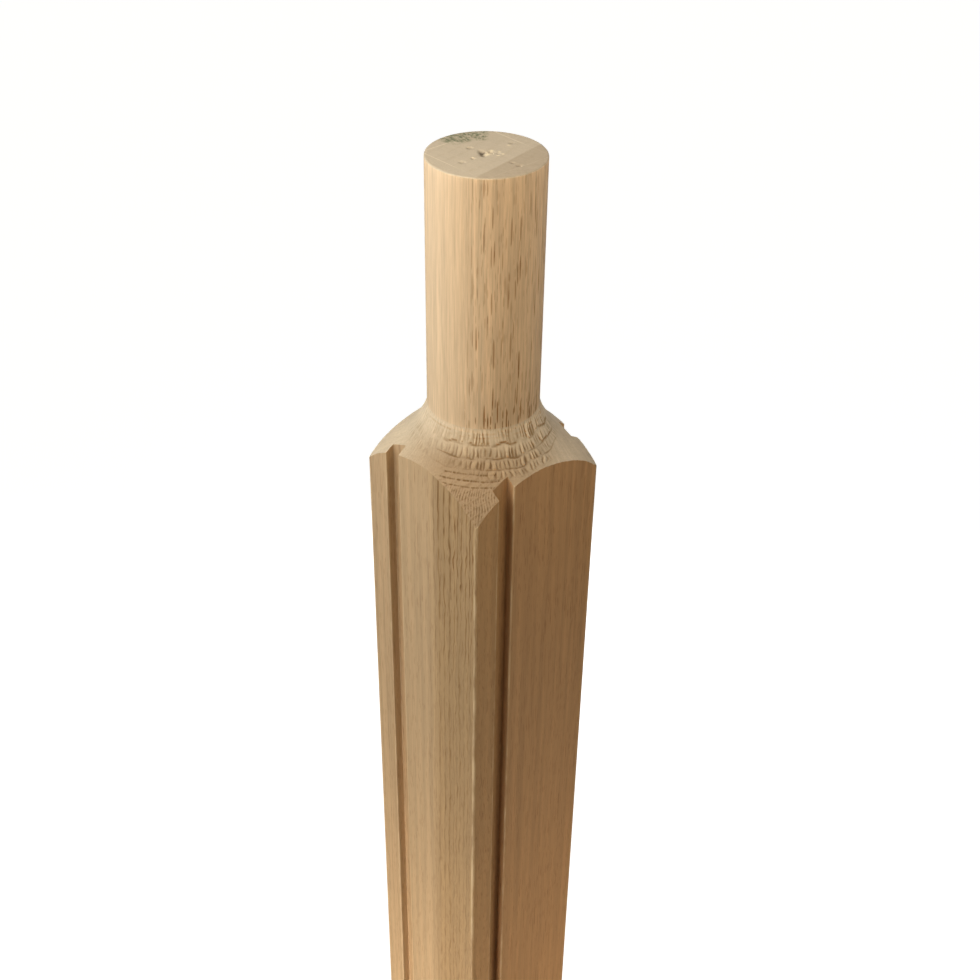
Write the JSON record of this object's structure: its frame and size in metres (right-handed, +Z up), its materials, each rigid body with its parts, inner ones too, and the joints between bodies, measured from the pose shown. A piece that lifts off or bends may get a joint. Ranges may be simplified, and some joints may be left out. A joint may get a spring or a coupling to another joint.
{
  "type": "newel post",
  "caption": "Square oak newel post, its upper end turned through an ogee shoulder to a round pin, with a groove down each face.",
  "frame": {"origin": "middle of the flat foot, on the post's axis", "axes": "+Z up the post towards the pin, X and Y square to its faces"},
  "size_m": [0.0762, 0.0762, 1.2192],
  "materials": {
    "oak": "bare planed and turned oak, unfinished"
  },
  "bodies": {
    "root": {"newel_post": "oak"}
  },
  "joints": []
}
